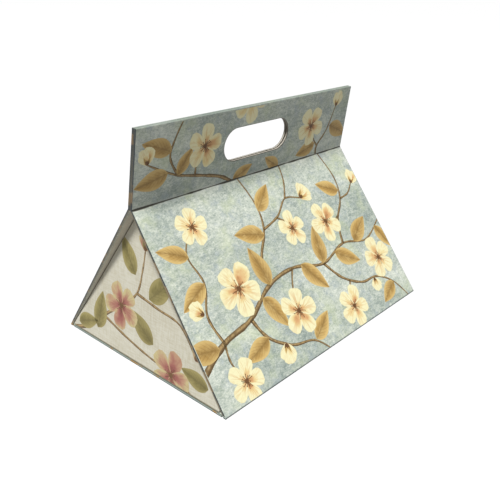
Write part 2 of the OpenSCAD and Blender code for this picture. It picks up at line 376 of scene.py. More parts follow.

# %% [markdown]
# ## Painted shade on the handle
#
# The handle is painted darker than the covers, with its print: painted shade, added to the shade that the leaning
# board gets from the light. The mask of this group starts at the ridge and is a little uneven; the paper and the
# inks mix a dark tone in by it.

# %% Handle shade group
handle_shade, shade_in, shade_out = new_group("handle shade", {"Vector": VECTOR}, {"Mask": FLOAT})
tree = handle_shade
shade_height = parts_of(tree, shade_in["Vector"])["Z"]
above_ridge = steps(tree, shade_height, RIDGE - 0.2 * MM, RIDGE + 0.6 * MM)
patches = noise(tree, shade_in["Vector"], 40.0, 3.0)
# Mask of the painted shade: from the ridge up, a little uneven
shade_mask = times(tree, above_ridge, steps(tree, patches, 0.3, 0.7, 0.75, 1.0))
tree.links.new(shade_mask, shade_out["Mask"])
print(tree.name, "group starts at", round(RIDGE / MM, 1), "mm")

# %% [markdown]
# ## The ground of the outer paper
#
# The outer paper is a weathered grey-green that looks like old plaster: pale patches over a blue-grey
# ground, with fine speckle. Layers of noise at different scales make it, as a painter would lay a wash, a
# sponge and a dry brush. They run on over every fold, where a flat texture would show a seam.

# %% Mottled ground group
MOTTLES = (
    # features per metre, detail, roughness, distortion and weight of each layer of mottling
    (20.0, 3.0, 0.5, 0.6, 0.24),
    (75.0, 4.0, 0.6, 0.8, 0.14),
    (380.0, 4.0, 0.8, 0.5, 0.32),
    (900.0, 3.0, 0.85, 0.0, 0.3),
)
BRUSH_STRETCH = (0.6, 1, 1)
WARM_TINT, COLD_TINT = rgba(200, 210, 164), rgba(166, 178, 184)
COLD_OFFSET = (0.31, 0.17, 0.23)

mottled_ground, ground_in, ground_out = new_group("mottled ground", {"Vector": VECTOR}, {"Color": COLOUR})
tree = mottled_ground
ground_place = ground_in["Vector"]
brushed = add(tree, "ShaderNodeMapping", Vector=ground_place, Scale=BRUSH_STRETCH).outputs[0]
mottle = 0.0
for scale, detail, roughness, distortion, weight in MOTTLES:
    layer = noise(tree, brushed, scale, detail, roughness, distortion)
    mottle = plus(tree, mottle, times(tree, layer, weight))
plaster = ramp(tree, mottle, [
    (0.4, rgba(134, 148, 142)),
    (0.5, rgba(186, 195, 183)),
    (0.6, rgba(236, 240, 226)),
])
warm = steps(tree, noise(tree, ground_place, 48.0, 5.0, 0.65), 0.46, 0.7, 0.0, 0.4)
plaster = mix(tree, warm, plaster, WARM_TINT)
elsewhere = add(tree, "ShaderNodeVectorMath", i0=ground_place, i1=COLD_OFFSET).outputs[0]
cold = steps(tree, noise(tree, elsewhere, 120.0, 5.0, 0.7), 0.5, 0.68, 0.0, 0.5)
plaster = mix(tree, cold, plaster, COLD_TINT)
tree.links.new(plaster, ground_out["Color"])
print(tree.name, "group:", len(MOTTLES), "layers of mottling and 2 tints")

# %% [markdown]
# ## Creases of the outer paper
#
# One sheet covers slope and handle, and where it folds at the ridge it gets painted shade: a dark line of uneven
# width, with a painted highlight as a paler band beside it. The lower edges, where it turns under the box, get
# painted shade too. Both lines follow from a point's own height, so they need no map and stay put when the box
# opens.

# %% Outer paper
# Painted shade on the handle, a painted highlight and painted shade at the ridge's fold, painted shade at the
# lower edges
PAPER_HANDLE_SHADE = 0.2
HANDLE_SHADE_TONE, CREASE_HIGHLIGHT, CREASE_SHADE, LOWER_EDGE_SHADE = rgba(56, 70, 82), rgba(228, 230, 216), rgba(48, 42, 32), rgba(74, 86, 90)

outer_paper, tree, shader, position = new_material("outer paper", OUTER_ROUGHNESS)
colour = use_group(tree, mottled_ground, Vector=position).outputs["Color"]
grain = use_group(tree, paper_grain, Vector=position)
place = parts_of(tree, position)
sideways, outward, height = unsigned(tree, place["X"]), unsigned(tree, place["Y"]), place["Z"]

# Painted shade on the handle board
painted_shade = use_group(tree, handle_shade, Vector=position).outputs["Mask"]
colour = mix(tree, times(tree, painted_shade, PAPER_HANDLE_SHADE), colour, HANDLE_SHADE_TONE)

wander = noise(tree, position, 30.0, 4.0)
crease = unsigned(tree, minus(tree, height, RIDGE))
crease = plus(tree, crease, steps(tree, wander, 0.35, 0.65, -0.35 * MM, 0.25 * MM))
# Painted highlight beside the ridge's fold, and painted shade in the fold
colour = mix(tree, steps(tree, crease, 0.8 * MM, 2.6 * MM, 0.22, 0.0), colour, CREASE_HIGHLIGHT)
colour = mix(tree, steps(tree, crease, 0.2 * MM, 0.95 * MM, 0.95, 0.0), colour, CREASE_SHADE)

# Painted shade where the paper turns under the box
near_fold = steps(tree, outward, HALF_DEPTH - 4 * MM, HALF_DEPTH - 2 * MM)
lower_edge_shade = times(tree, steps(tree, height, 0.5 * MM, 1.3 * MM, 0.75, 0.0), near_fold)
colour = mix(tree, lower_edge_shade, colour, LOWER_EDGE_SHADE)
print("the ridge's crease is at", round(RIDGE / MM, 1), "mm")

# %% [markdown]
# ## Ends of the boards
#
# At the boards' ends the paper is turned over, dark on the covers, partly with painted shade, and pale on the
# base, with brown bits of the print on both. The inner half of a cover's end is paler, where the lining is turned
# over it, and the base's end has a line of painted shade below, where it meets the floor, and above, in the gap
# under the flap. The distance from each outer face tells the halves apart.

# %% Ends of the boards
HANDLE_HEIGHT = 60.6 * MM
MID_STACK = BOARD + FOLD_GAP / 2
SHADED_COVER_END, COVER_BITS, COVER_INNER = rgba(50, 58, 60), rgba(142, 114, 76), rgba(176, 164, 136)
BASE_END, BASE_BITS, BASE_FOOT_SHADE, BASE_TOP_SHADE = (
    rgba(152, 166, 158), rgba(182, 144, 84), rgba(70, 78, 80), rgba(96, 94, 74))
TOP_EDGE_SHADE = rgba(128, 138, 128)


def along(tree, position, direction, origin):
    """How far a point lies from an origin along a direction."""
    node = add(tree, "ShaderNodeVectorMath", i0=position, i1=tuple(direction))
    node.operation = "DOT_PRODUCT"
    return minus(tree, node.outputs["Value"], Vector(direction).dot(Vector(origin)))


is_bit = steps(tree, noise(tree, position, 70.0, 3.0), 0.52, 0.58)
# The covers' ends: turned paper, darker with painted shade
cover_end = mix(tree, times(tree, is_bit, 0.6), SHADED_COVER_END, COVER_BITS)
base_end = mix(tree, is_bit, BASE_END, BASE_BITS)
# Painted shade along the foot of the base's end, by the floor, and along its top, in the gap under the flap
base_end = mix(tree, steps(tree, height, 0.3 * MM, 0.7 * MM, 1.0, 0.0), base_end, BASE_FOOT_SHADE)
base_end = mix(tree, steps(tree, height, 1.2 * MM, 1.8 * MM, 0.0, 0.85), base_end, BASE_TOP_SHADE)

handle_up = Vector((0, -math.sin(HANDLE_LEAN), math.cos(HANDLE_LEAN)))
handle_through = Vector((0, math.cos(HANDLE_LEAN), math.sin(HANDLE_LEAN)))
handle_depth = along(tree, position, handle_through, (0, 0, RIDGE))
slope_depths = [along(tree, position, facing(face), FACES[face].translation)
    for face in ("front_slope", "back_slope")]
slope_inner = steps(tree, math_node(tree, "MAXIMUM", *slope_depths), -1.3 * MM, -0.8 * MM, 1.0, 0.0)
from_joint = unsigned(tree, minus(tree, handle_depth, MID_STACK))
handle_inner = times(tree, steps(tree, from_joint, 0.8 * MM, 1.3 * MM, 1.0, 0.0),
    steps(tree, wander, 0.44, 0.56, 0.2, 0.6))
on_handle = steps(tree, height, RIDGE - 0.3 * MM, RIDGE + 0.3 * MM)
slope_inner = times(tree, slope_inner, minus(tree, 1.0, on_handle))
inner = plus(tree, slope_inner, times(tree, handle_inner, on_handle))
cover_end = mix(tree, times(tree, inner, 0.4), cover_end, COVER_INNER)

on_base = steps(tree, height, BOARD, BOARD + 0.2 * MM, 1.0, 0.0)
turned_over = steps(tree, sideways, HALF_LENGTH - 0.3 * MM, HALF_LENGTH - 0.05 * MM)
colour = mix(tree, turned_over, colour, mix(tree, on_base, cover_end, base_end))

# Painted shade on the paper turned over the handle's top edge, so that it is less bright in the light from above
up_handle = along(tree, position, handle_up, (0, 0, RIDGE))
top_edge_shade = steps(tree, up_handle, HANDLE_HEIGHT - 0.5 * MM, HANDLE_HEIGHT - 0.1 * MM, 0.0, 0.6)
colour = mix(tree, top_edge_shade, colour, TOP_EDGE_SHADE)
print("handle", round(HANDLE_HEIGHT / MM, 1), "mm high")

# %% [markdown]
# ## The wall of the hand hole
#
# The hole is punched through covered boards, so its wall is raw board: pale inside each board and dark at the
# boards' faces. Its upper half, which faces down, is darker with painted shade, and a dark ring lies on the paper
# round it. The hole is a bar with round ends, so the distance from its middle line tells what is wall and what is
# face.

# %% Hand hole
HOLE_LENGTH, HOLE_HEIGHT, HOLE_MIDDLE = 80 * MM, 28 * MM, 30.6 * MM
HOLE_RADIUS = HOLE_HEIGHT / 2
HOLE_RING, BOARD_FACE, BOARD_CORE, UPPER_WALL_SHADE = (
    rgba(72, 62, 46), rgba(70, 54, 36), rgba(255, 248, 230), rgba(66, 56, 42))

past_middle = math_node(tree, "MAXIMUM", minus(tree, sideways, HOLE_LENGTH / 2 - HOLE_RADIUS), 0.0)
from_middle = minus(tree, up_handle, HOLE_MIDDLE)
squares = plus(tree, times(tree, past_middle, past_middle), times(tree, from_middle, from_middle))
from_line = math_node(tree, "SQRT", squares)
wall = steps(tree, from_line, HOLE_RADIUS + 0.02 * MM, HOLE_RADIUS + 0.12 * MM, 1.0, 0.0)
rim = steps(tree, from_line, HOLE_RADIUS + 0.2 * MM, HOLE_RADIUS + 0.7 * MM, 0.6, 0.0)
colour = mix(tree, rim, colour, HOLE_RING)

from_core = minus(tree, handle_depth, BOARD / 2)
layers = math_node(tree, "COSINE", times(tree, from_core, 2 * math.pi / (BOARD + FOLD_GAP)))
raw_board = mix(tree, steps(tree, layers, -0.4, 0.4), BOARD_FACE, BOARD_CORE)
# Painted shade on the upper half of the wall, which faces down
raw_board = mix(tree, steps(tree, from_middle, -6 * MM, 0.0, 0.0, 0.85), raw_board, UPPER_WALL_SHADE)
colour = mix(tree, wall, colour, raw_board)
finish_material(tree, shader, colour, grain.outputs["Height"], GRAIN_STRENGTH, GRAIN_RELIEF)
print(outer_paper.name, "material:", len(tree.nodes), "nodes")

# %% [markdown]
# ## Linen-look paper
#
# The end flaps and the inside carry a warm cream paper printed to look like linen. Two stretched noises,
# one for the threads along the sheet and one for those across it, give the weave, and a soft noise its
# stains. Threads of a real weave would be far too fine to model.

# %% Linen weave group
ALONG_THREADS, ACROSS_THREADS = (260, 2600, 2600), (2600, 260, 260)
WEAVE_STRENGTH, WEAVE_RELIEF = 0.2, 0.1 * MM

linen_weave, linen_in, linen_out = new_group("linen weave",
    {"Vector": VECTOR, "Pale": COLOUR, "Deep": COLOUR}, {"Color": COLOUR, "Height": FLOAT})
tree = linen_weave
linen_place = linen_in["Vector"]
warp, weft = (
    noise(tree, add(tree, "ShaderNodeMapping", Vector=linen_place, Scale=stretch).outputs[0], 0.5, 2.0)
    for stretch in (ALONG_THREADS, ACROSS_THREADS))
stain = noise(tree, linen_place, 24.0, 5.0, 0.6)
threads = times(tree, plus(tree, warp, weft), 0.5)
woven, stained = steps(tree, threads, 0.38, 0.62), steps(tree, stain, 0.28, 0.72)
shade = plus(tree, times(tree, woven, 0.6), times(tree, stained, 0.4))
linen = mix(tree, shade, linen_in["Deep"], linen_in["Pale"])
tree.links.new(linen, linen_out["Color"])
tree.links.new(threads, linen_out["Height"])


def linen_paper(name, pale, deep, turned=False):
    """Cream linen-look paper: its material, and what is needed to paint on it.

    The threads run along the box's length and across it, and on turned paper along its depth.
    """
    material, tree, shader, position = new_material(name, LINEN_ROUGHNESS)
    sheet_place = position
    if turned:
        axes = parts_of(tree, position)
        sheet_place = add(tree, "ShaderNodeCombineXYZ", X=axes["Y"], Y=axes["X"], Z=axes["Z"]).outputs[0]
    weave = use_group(tree, linen_weave, Vector=sheet_place, Pale=pale, Deep=deep)
    colour = weave.outputs["Color"]
    finish_material(tree, shader, colour, weave.outputs["Height"], WEAVE_STRENGTH, WEAVE_RELIEF)
    return material, tree, shader, position, colour


lining_paper = linen_paper("lining paper", rgba(222, 215, 197), rgba(199, 191, 171))[0]
print(lining_paper.name, "and", linen_weave.name, "made")

# %% [markdown]
# ## The end flaps' paper
#
# The flaps' paper is a little greyer than the lining, and along its three edges it gets painted shade: the shadow
# in the narrow gaps beside the covers and above the base. Beside a cover the dark band is measured along the
# direction that the cover faces in.

# %% End paper
FLAP_SHADE_WIDTH = 0.8 * MM
FLAP_SHADE_STRENGTHS = {"front_slope": 0.3, "back_slope": 0.85}
END_PALE, END_DEEP = rgba(211, 208, 192), rgba(190, 184, 163)
FLAP_GAP_SHADE, FLAP_FOOT_SHADE = rgba(84, 74, 52), rgba(112, 100, 72)

end_paper, tree, shader, position, colour = linen_paper("end paper", END_PALE, END_DEEP, turned=True)
flap_points = [vert.co for vert in nodes["left_end_panel"].data.vertices]
# Painted shade in the gaps between the flap and the covers, stronger beside the back cover, and above the base
for face, strength in FLAP_SHADE_STRENGTHS.items():
    rim = max(facing(face).dot(point) for point in flap_points)
    from_rim = along(tree, position, facing(face), facing(face) * rim)
    gap_shade = steps(tree, from_rim, -FLAP_SHADE_WIDTH, -FLAP_SHADE_WIDTH / 2, 0.0, strength)
    colour = mix(tree, gap_shade, colour, FLAP_GAP_SHADE)
height = parts_of(tree, position)["Z"]
foot = min(point.z for point in flap_points)
foot_shade = steps(tree, height, foot + FLAP_SHADE_WIDTH / 2, foot + 1.5 * FLAP_SHADE_WIDTH, 0.85, 0.0)
colour = mix(tree, foot_shade, colour, FLAP_FOOT_SHADE)
tree.links.new(colour, shader.inputs["Base Color"])

for node_name, node in nodes.items():
    if node_name.endswith("_panel"):
        node.data.materials.clear()
        node.data.materials.append(end_paper if "_end_" in node_name else outer_paper)
        print(node_name, "has", node.data.materials[0].name)

# %% [markdown]
# ## Printed inks
#
# Petals, leaves and twigs are printed on the paper. Each ink is a material that reads the shape's own UV
# map: u runs from the foot of a petal or leaf to its tip, v across it. So a petal can be peach at its
# foot and cream at its rim, with fine streaks along it, wherever it lies.

# %% Ink material
INK_HANDLE_SHADE, INK_SHADE_TONE = 0.16, rgba(74, 58, 22)


def ink_material(name, paint):
    """An ink. paint(tree, u, v, tone, speckle, place) returns the colour of a shape whose map is u and v."""
    material, tree, shader, position = new_material(name, INK_ROUGHNESS)
    uv = tree.nodes.new("ShaderNodeUVMap")
    uv.uv_map = "print"
    parts = parts_of(tree, uv.outputs["UV"])
    tone = tree.nodes.new("ShaderNodeAttribute")
    tone.attribute_name = "tone"
    grain = use_group(tree, paper_grain, Vector=position).outputs
    colour = paint(tree, parts["X"], parts["Y"], tone.outputs["Fac"], grain["Speckle"], position)
    # Painted shade on the handle, over the print as over the paper
    painted_shade = use_group(tree, handle_shade, Vector=position).outputs["Mask"]
    colour = mix(tree, times(tree, painted_shade, INK_HANDLE_SHADE), colour, INK_SHADE_TONE)
    finish_material(tree, shader, colour, grain["Height"], GRAIN_STRENGTH, GRAIN_RELIEF)
    print(name)
    return material


# %% [markdown]
# ## Petals, leaves and twigs in ink
#
# A petal is washed from a dark foot to a pale rim, with streaks and darker sides over it. A leaf has a
# soft dark middle, side veins, a pale rim and a midrib, and a twig has dark edges beside a light line.
# Each recipe lays these one over the other, in that order, as a painter would.


# %% Ink recipes
def petal_paint(rim, body, blush, foot, spread=1.0):
    """The colours of a petal, from its rim to its foot. spread says how far out the darker ones reach."""

    def paint(tree, u, v, tone, speckle, place):
        wash = steps(tree, noise(tree, place, 120.0, 3.0), 0.3, 0.7, 0.16, -0.16)
        reach = minus(tree, plus(tree, u, wash), times(tree, math_node(tree, "POWER", tone, 3.0), 0.36))
        colour = ramp(tree, math_node(tree, "DIVIDE", reach, spread),
            [(0.0, foot), (0.2, blush), (0.42, body), (0.62, rim)])
        streak_place = add(tree, "ShaderNodeCombineXYZ", X=times(tree, u, 1.6), Y=times(tree, v, 24.0),
            Z=times(tree, tone, 40.0)).outputs[0]
        streak = steps(tree, noise(tree, streak_place, 1.0, 2.0), 0.5, 0.62)
        colour = mix(tree, times(tree, streak, steps(tree, u, 0.4, 1.0, 0.7, 0.18)), colour, blush)
        side = unsigned(tree, minus(tree, v, 0.5))
        edge = times(tree, steps(tree, side, 0.36, 0.5, 0.0, 0.85), steps(tree, u, 0.6, 0.98, 1.0, 0.25))
        colour = mix(tree, edge, colour, blush)
        return mix(tree, times(tree, speckle, 0.12), colour, blush)

    return paint


def leaf_paint(light, body, rib):
    """The colours of a leaf, whose one half catches more light, and of its ribs."""

    def paint(tree, u, v, tone, speckle, place):
        side = unsigned(tree, minus(tree, v, 0.5))
        colour = mix(tree, steps(tree, v, 0.4, 0.6, 0.3, 0.0), body, light)
        colour = mix(tree, steps(tree, side, 0.0, 0.3, 0.6, 0.0), colour, rib)
        colour = mix(tree, steps(tree, u, 0.0, 0.5, 0.5, 0.0), colour, rib)
        wash = noise(tree, place, 150.0, 3.0)
        colour = mix(tree, steps(tree, wash, 0.44, 0.64, 0.0, 0.45), colour, light)
        veins = math_node(tree, "FRACT", plus(tree, times(tree, u, 8.0), times(tree, side, -5.5)))
        from_vein = unsigned(tree, minus(tree, veins, 0.5))
        colour = mix(tree, steps(tree, from_vein, 0.0, 0.2, 0.45, 0.0), colour, rib)
        colour = mix(tree, steps(tree, side, 0.24, 0.46, 0.0, 0.8), colour, light)
        colour = mix(tree, steps(tree, side, 0.0, 0.07, 0.6, 0.0), colour, rib)
        colour = mix(tree, times(tree, tone, 0.3), colour, rib)
        return mix(tree, times(tree, speckle, 0.16), colour, light)

    return paint


def twig_paint(light, deep):
    """The colours of a twig: dark edges and a light line between them."""

    def paint(tree, u, v, tone, speckle, place):
        from_light = unsigned(tree, minus(tree, v, 0.62))
        colour = mix(tree, steps(tree, from_light, 0.05, 0.42), light, deep)
        knots = noise(tree, place, 380.0, 3.0, 0.6)
        colour = mix(tree, steps(tree, knots, 0.42, 0.62, 0.0, 0.65), colour, deep)
        return mix(tree, times(tree, speckle, 0.2), colour, light)

    return paint


INKS = {
    "cream_blossoms": ink_material("ink, cream blossoms", petal_paint(
        rgba(246, 242, 196), rgba(240, 221, 162), rgba(220, 172, 118), rgba(168, 116, 74))),
    "rose_blossoms": ink_material("ink, rose blossoms", petal_paint(
        rgba(198, 186, 136), rgba(184, 146, 116), rgba(158, 98, 88), rgba(122, 64, 58), spread=1.45)),
    "ochre_leaves": ink_material("ink, ochre leaves", leaf_paint(
        rgba(230, 200, 132), rgba(196, 158, 88), rgba(134, 102, 50))),
    "olive_leaves": ink_material("ink, olive leaves", leaf_paint(
        rgba(170, 158, 102), rgba(136, 126, 70), rgba(102, 92, 50))),
    "brown_twigs": ink_material("ink, brown twigs", twig_paint(rgba(178, 150, 102), rgba(88, 68, 42))),
    "brown_hearts": ink_material("ink, brown hearts", twig_paint(rgba(134, 98, 60), rgba(94, 64, 40))),
}

# %% [markdown]
# ## Shapes of the print
#
# A printed shape is a small grid of quads, bent into a petal, a leaf or a length of twig by moving its
# points, and later given the thickness of a film. The grid's own map goes with it. Shapes lie in thin
# layers, twigs lowest and stamens highest, as a printer lays down inks.

# %% Film of ink
BLOSSOM, LEAF, BRANCH = 22 * MM, 40 * MM, 5 * MM
PRINT_LIFT = 0.02 * MM


class Print:
    """One ink's shapes on one side of the box."""

    def __init__(self, name):
        self.name = name
        self.shape = bmesh.new()
        self.map = self.shape.loops.layers.uv.new("print")
        self.tone = self.shape.verts.layers.float.new("tone")

    def patch(self, grid, tone, place, bend):
        """A grid of quads, moved by bend(u, v), which gives a point in millimetres, and by place."""
        along, across = grid
        made = bmesh.ops.create_grid(self.shape, x_segments=along, y_segments=across, size=0.5)["verts"]
        for vert in made:
            u, v = vert.co.x + 0.5, vert.co.y + 0.5
            for loop in vert.link_loops:
                loop[self.map].uv = (u, v)
            vert[self.tone] = tone
            vert.co = bend(u, v) * MM
        bmesh.ops.transform(self.shape, matrix=place, verts=made)


def at(x, y, turn, layer):
    """A place on a board: x and y in millimetres, a turn in degrees and a layer of the print."""
    place = Matrix.Translation((x * MM, y * MM, PRINT_LIFT + layer * MM))
    return place @ Matrix.Rotation(math.radians(turn), 4, "Z")


print("largest blossom", round(2 * BLOSSOM / MM), "mm, longest leaf", round(LEAF / MM), "mm")

# %% [markdown]
# ## Petal and leaf
#
# A petal's outline is an ellipse through the blossom's middle, measured out from there at each angle, so
# that its rim can be notched and ruffled. A leaf's is one hump of a sine, pulled toward its foot. Each has
# its own small chances, seeded by its place, so that no two look stamped.

# %% Petal and leaf
PETAL_GRID, LEAF_GRID = (5, 16), (12, 6)
PETAL_NOTCH, NOTCH_WIDTH = 0.05, 0.1
PETAL_WAIST, PETAL_FLARE = 0.46, 0.82


def petal(film, x, y, size, turn, layer, breadth=0.385, spread=80, ruffle=0.025):
    """A petal from (x, y) outward: size is its reach in millimetres. u runs out to its rim, v round it."""
    chance = random.Random(round(x * 7 + y * 13 + turn))
    tone, wave, stretch = chance.random(), chance.uniform(0, 6), chance.uniform(0.94, 1.03)

    def bend(u, v):
        side = 2 * v - 1
        angle = math.radians(spread) * side
        cos, sin = math.cos(angle), math.sin(angle)
        rim = breadth ** 2 * cos / (breadth ** 2 * cos ** 2 + sin ** 2 / 4)
        notch = PETAL_NOTCH * math.exp(-((side - 0.05 * math.sin(wave)) / NOTCH_WIDTH) ** 2)
        rim *= 1 - notch + ruffle * math.sin(9 * side + wave)
        out, across = u * rim * cos, u * rim * sin
        return Vector((out, across * (PETAL_WAIST + PETAL_FLARE * out), 0)) * size * stretch

    film.patch(PETAL_GRID, tone, at(x, y, turn, layer), bend)


def leaf(film, x, y, length, turn, layer, width=0.5, curl=0.08):
    """A pointed leaf whose foot is at (x, y)."""
    chance = random.Random(round(x * 5 + y * 11 + turn))
    tone, curl = chance.random(), curl * chance.choice((-1, 1))

    def bend(u, v):
        side = 2 * v - 1
        half = width / 2 * math.sin(math.pi * u ** 0.75) ** 0.9
        return Vector((length * u, length * (half * side + curl * u * u), 0))

    film.patch(LEAF_GRID, tone, at(x, y, turn, layer), bend)


print("quads in a petal", math.prod(PETAL_GRID), "and in a leaf", math.prod(LEAF_GRID))

# %% [markdown]
# ## Twigs and small strokes
#
# A twig follows a smooth line through a few points, and its width shrinks toward its tip with a slow and
# a quick swell, as in a brush stroke. A curve could do it, but a grid has a map and a thickness like the
# other shapes. Stamens are fine strokes with dots at their tips.

# %% Twigs and small strokes
TWIG_TIP = 1.2
TWIG_TONE, STAMEN_TONE, DOT_TONE = 0.5, 0.4, 0.6
STAMEN_GRID = (4, 1)
STAMEN_FOOT, STAMEN_TAPER, STAMEN_SWAY = 0.75, 0.4, 0.3
DOT_SIDES = 10
DOT_UV = (0.5, 0.35)


def route_point(route, t):
    """A point at t, counted in spans, on a smooth line through the route's points."""
    span = min(int(t), len(route) - 2)
    t -= span
    a, b, c, d = (Vector(route[min(max(span + k, 0), len(route) - 1)]) for k in (-1, 0, 1, 2))
    return (2 * b + (c - a) * t + (2 * a - 5 * b + 4 * c - d) * t * t + (3 * b - a - 3 * c + d) * t ** 3) / 2


def twig(film, route, width, layer):
    """A tapering twig along a route of points in millimetres."""
    spans = len(route) - 1

    def bend(u, v):
        t = u * spans
        ahead = route_point(route, min(t + 0.05, spans)) - route_point(route, max(t - 0.05, 0))
        out = Vector((-ahead.y, ahead.x)).normalized()
        half = (width + (min(TWIG_TIP, width) - width) * u) / 2
        half *= 1 + 0.12 * math.sin(9 * t) + 0.08 * math.sin(23 * t + 1)
        return (route_point(route, t) + out * half * (2 * v - 1)).to_3d()

    film.patch((spans * 6, 2), TWIG_TONE, at(0, 0, 0, layer), bend)


def stamen(film, x, y, length, turn, layer):
    """A fine tapering line."""

    def bend(u, v):
        across = (STAMEN_FOOT - STAMEN_TAPER * u) * (v - 0.5)
        return Vector((length * u, STAMEN_SWAY * math.sin(3 * u) + across, 0))

    film.patch(STAMEN_GRID, STAMEN_TONE, at(x, y, turn, layer), bend)


def dot(film, x, y, radius, layer):
    """A round spot of ink."""
    made = bmesh.ops.create_circle(film.shape, cap_ends=True, segments=DOT_SIDES, radius=radius * MM)["verts"]
    for vert in made:
        vert[film.tone] = DOT_TONE
        for loop in vert.link_loops:
            loop[film.map].uv = DOT_UV
    bmesh.ops.transform(film.shape, matrix=at(x, y, 0, layer), verts=made)


print("twigs taper to", TWIG_TIP, "mm")

# %% [markdown]
# ## The design
#
# The photograph's paper shows blossom branches. This design is a plain one of the same kind: branches
# that wander across each board, with five-petal blossoms, buds and leaves, laid out for this box. Each
# row gives a place on the board in millimetres, a size as a share of the largest, and a turn in degrees.

# %% Layout of the print
SLOPE_DESIGN = {
    "blossoms": [(-70, 74, 1, 12), (-22, 38, 0.94, 36), (58, 94, 0.9, 5), (104, 44, 0.96, 60),
        (-100, 14, 0.8, 28), (42, 18, 0.86, 22), (14, 100, 0.76, 50), (-86, 130, 0.74, 40)],
    "buds": [(40, 122, 0.85, 25), (118, 118, 0.7, 50), (-50, 22, 0.75, -105), (84, 30, 0.6, -95),
        (-110, 68, 0.65, 135)],
    "leaves": [(-110, 42, 0.85, 165), (-52, 60, 0.8, -60), (-38, 66, 0.86, 95), (4, 70, 0.85, -60),
        (30, 62, 0.85, 72), (50, 66, 0.8, -35), (82, 67, 0.85, 35), (120, 72, 0.7, -70),
        (-20, 104, 0.8, 160), (-15, 124, 0.75, 35), (95, 116, 0.75, 160), (-98, 88, 0.75, 200),
        (-101, 110, 0.7, 150), (-64, 32, 0.75, 200), (-18, 12, 0.75, 25), (108, 18, 0.7, 200)],
    "twigs": [
        (1, [(-134, 30), (-104, 44), (-72, 50), (-40, 66), (-6, 70), (30, 62), (66, 70), (100, 64),
             (134, 78)]),
        (0.7, [(-40, 66), (-34, 88), (-18, 108), (-14, 130), (-22, 160)]),
        (0.7, [(-72, 50), (-64, 32), (-44, 18), (-20, 12), (-4, -4)]),
        (0.6, [(66, 70), (74, 90), (92, 108), (98, 130), (90, 160)]),
        (0.6, [(30, 62), (44, 44), (66, 32), (88, 30), (108, 18), (122, -4)]),
        (0.5, [(-104, 44), (-108, 66), (-98, 88), (-102, 112), (-88, 130)]),
        (0.45, [(-18, 108), (4, 114), (22, 126), (40, 122)]),
        (0.4, [(92, 108), (106, 110), (118, 118)]),
        (0.4, [(22, 126), (31, 142), (34, 160)]),
        (0.45, [(-104, 44), (-106, 30), (-100, 14)]),
        (0.4, [(-8, 70), (-17, 56), (-22, 38)]),
        (0.4, [(2, 113), (9, 108), (14, 100)]),
        (0.4, [(52, 39), (46, 30), (42, 18)]),
        (0.4, [(77, 94), (68, 91), (58, 94)]),
    ],
}
HANDLE_DESIGN = {
    "blossoms": [(-62, 36, 0.84, 44), (74, 30, 0.88, 20), (-14, 66, 0.9, 30)],
    "buds": [(-118, 32, 0.7, 100), (109, 44, 0.7, 80)],
    "leaves": [(-98, 22, 0.8, 195), (-96, 38, 0.75, 155), (-26, 0, 0.62, 18), (33, 0, 0.58, 154),
        (84, 12, 0.7, 200), (104, 26, 0.8, -20), (-88, 18, 0.6, 60)],
    "twigs": [
        (0.7, [(-22, -4), (-40, 6), (-62, 12), (-88, 18), (-106, 26), (-118, 32)]),
        (0.6, [(90, -4), (88, 8), (100, 22), (109, 44)]),
        (0.5, [(-88, 18), (-97, 34), (-92, 50), (-84, 64)]),
        (0.45, [(-70, 14), (-69, 25), (-62, 36)]),
        (0.4, [(88, 9), (80, 18), (74, 30)]),
    ],
}
END_DESIGN = {
    "blossoms": [(-22, 40, 0.95, 10), (36, 6, 0.95, 36)],
    "buds": [(4, 92, 0.7, 80), (60, 28, 0.6, 60)],
    "leaves": [(-52, 10, 0.86, 75), (10, 56, 0.9, 40), (-6, 70, 0.8, 125), (16, 22, 0.84, 150),
        (-78, 6, 0.7, 25), (74, 12, 0.7, 175)],
    "twigs": [
        (0.7, [(-96, -4), (-66, 6), (-44, 24), (-22, 40), (-4, 56), (2, 76), (5, 96)]),
        (0.5, [(-4, 56), (20, 52), (44, 48), (60, 30)]),
        (0.5, [(-44, 24), (-16, 16), (14, 10), (38, 8), (66, -4)]),
    ],
}
for design in (SLOPE_DESIGN, HANDLE_DESIGN, END_DESIGN):
    print({kind: len(rows) for kind, rows in design.items()})

# %% [markdown]
# ## Blossoms and buds
#
# A blossom is five petals about a heart of short stamens. A bud is four petals fanned from a small brown
# cup with two sepals. The petals overlap, so each lies a hair above the one before it.

# %% Blossoms and buds
LAYERS = {"twigs": 0.0, "leaves": 0.02, "blossoms": 0.04, "hearts": 0.09}
PETALS, PETAL_STEP = 5, 0.007
STAMENS, STAMEN_REACH, STAMEN_VARIATION, STAMEN_STRAY = 14, 0.25, 0.08, 9
TIP_RADIUS, HEART_SHARE, DOT_STEP = 0.45, 0.1, 0.006
CUP_PETALS = ((-30, 0.86), (31, 0.84), (-12, 1.0), (14, 0.97))
CUP_BREADTH, CUP_RUFFLE = 0.3, 0.05
CUP_LEAVES, CUP_LENGTH, CUP_WIDTH, CUP_STEP = (-30, 0, 30), 0.28, 0.44, 0.0002
SEPALS, SEPAL_LENGTH, SEPAL_WIDTH, SEPAL_RISE = (-24, 27), 0.5, 0.34, 0.036


